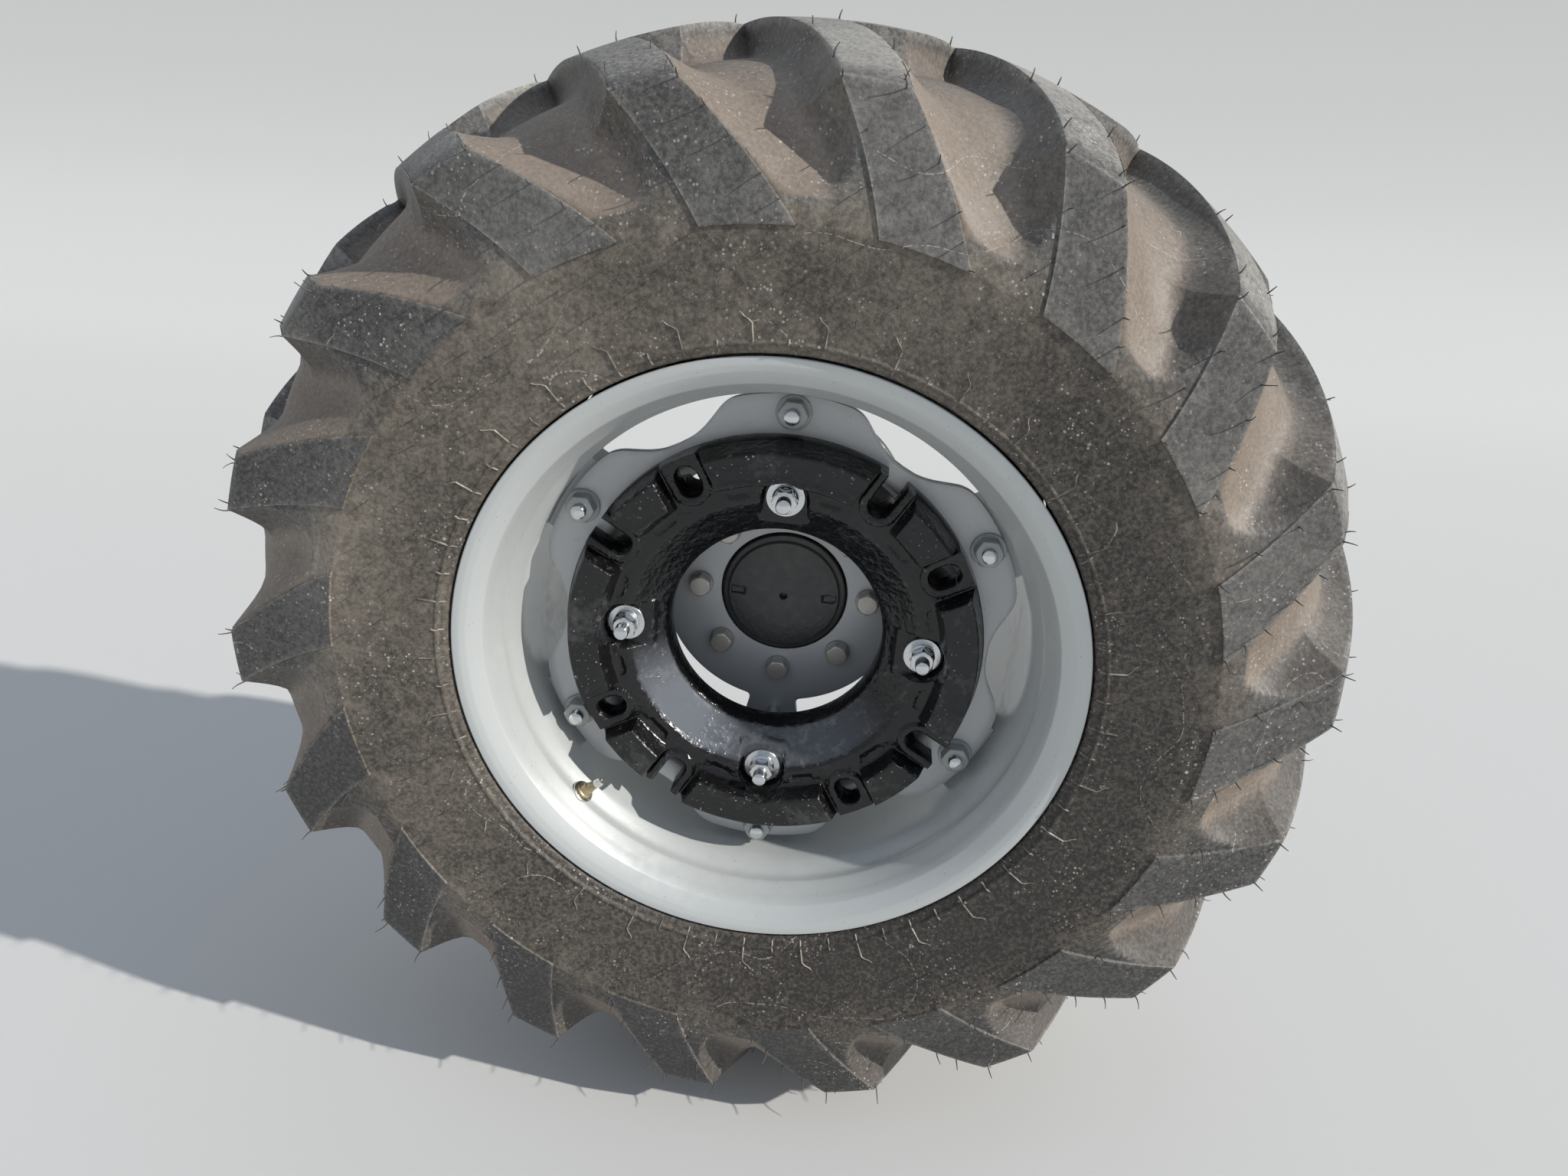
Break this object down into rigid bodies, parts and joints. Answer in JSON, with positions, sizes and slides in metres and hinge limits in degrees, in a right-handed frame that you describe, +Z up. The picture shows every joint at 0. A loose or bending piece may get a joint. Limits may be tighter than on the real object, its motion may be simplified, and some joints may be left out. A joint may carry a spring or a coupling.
{
  "type": "tractor rear wheel",
  "caption": "Industrial-lug rear wheel of a tractor with a bolted disc and slotted cast weight, turning on the axle end and housing that carry it.",
  "frame": {"origin": "on the axle, in the face of the axle housing that bolts to the tractor", "axes": "+Y along the axle towards the tractor, +X towards the tractor's rear, +Z up"},
  "size_m": [1.2432, 0.6435, 1.2432],
  "materials": {
    "tyre_rubber": "dusty grey-brown rubber, darker in the grooves",
    "silver_paint": "silver-grey satin paint with light dust",
    "disc_paint": "silver-grey satin paint",
    "grey_bolts": "painted over with the disc, bare at the ends",
    "black_casting": "thick gloss black paint on rough cast iron, chipped at edges",
    "zinc": "bright zinc plating",
    "black_forging": "semi-gloss black paint",
    "brass": "dull brass",
    "valve_cap": "nickel plating",
    "housing_paint": "semi-gloss black paint on cast iron"
  },
  "bodies": {
    "housing": {"axle_housing": "housing_paint", "bearing_retainer": "housing_paint"},
    "wheel": {"tyre": "tyre_rubber", "rim": "silver_paint", "rim_brackets": "silver_paint", "wheel_disc": "disc_paint", "disc_bolts": "grey_bolts", "disc_nuts": "grey_bolts", "wheel_weight": "black_casting", "weight_bolts": "zinc", "weight_nuts": "zinc", "weight_washers": "zinc", "hub_bolts": "grey_bolts", "axle_shaft": "black_forging", "valve_stem": "brass", "valve_cap": "valve_cap"}
  },
  "joints": [
    {"name": "wheel_turn", "type": "hinge", "parent": "housing", "child": "wheel", "pos_m": [0, -0.3, 0], "axis": [0, 1, 0], "continuous": true}
  ]
}
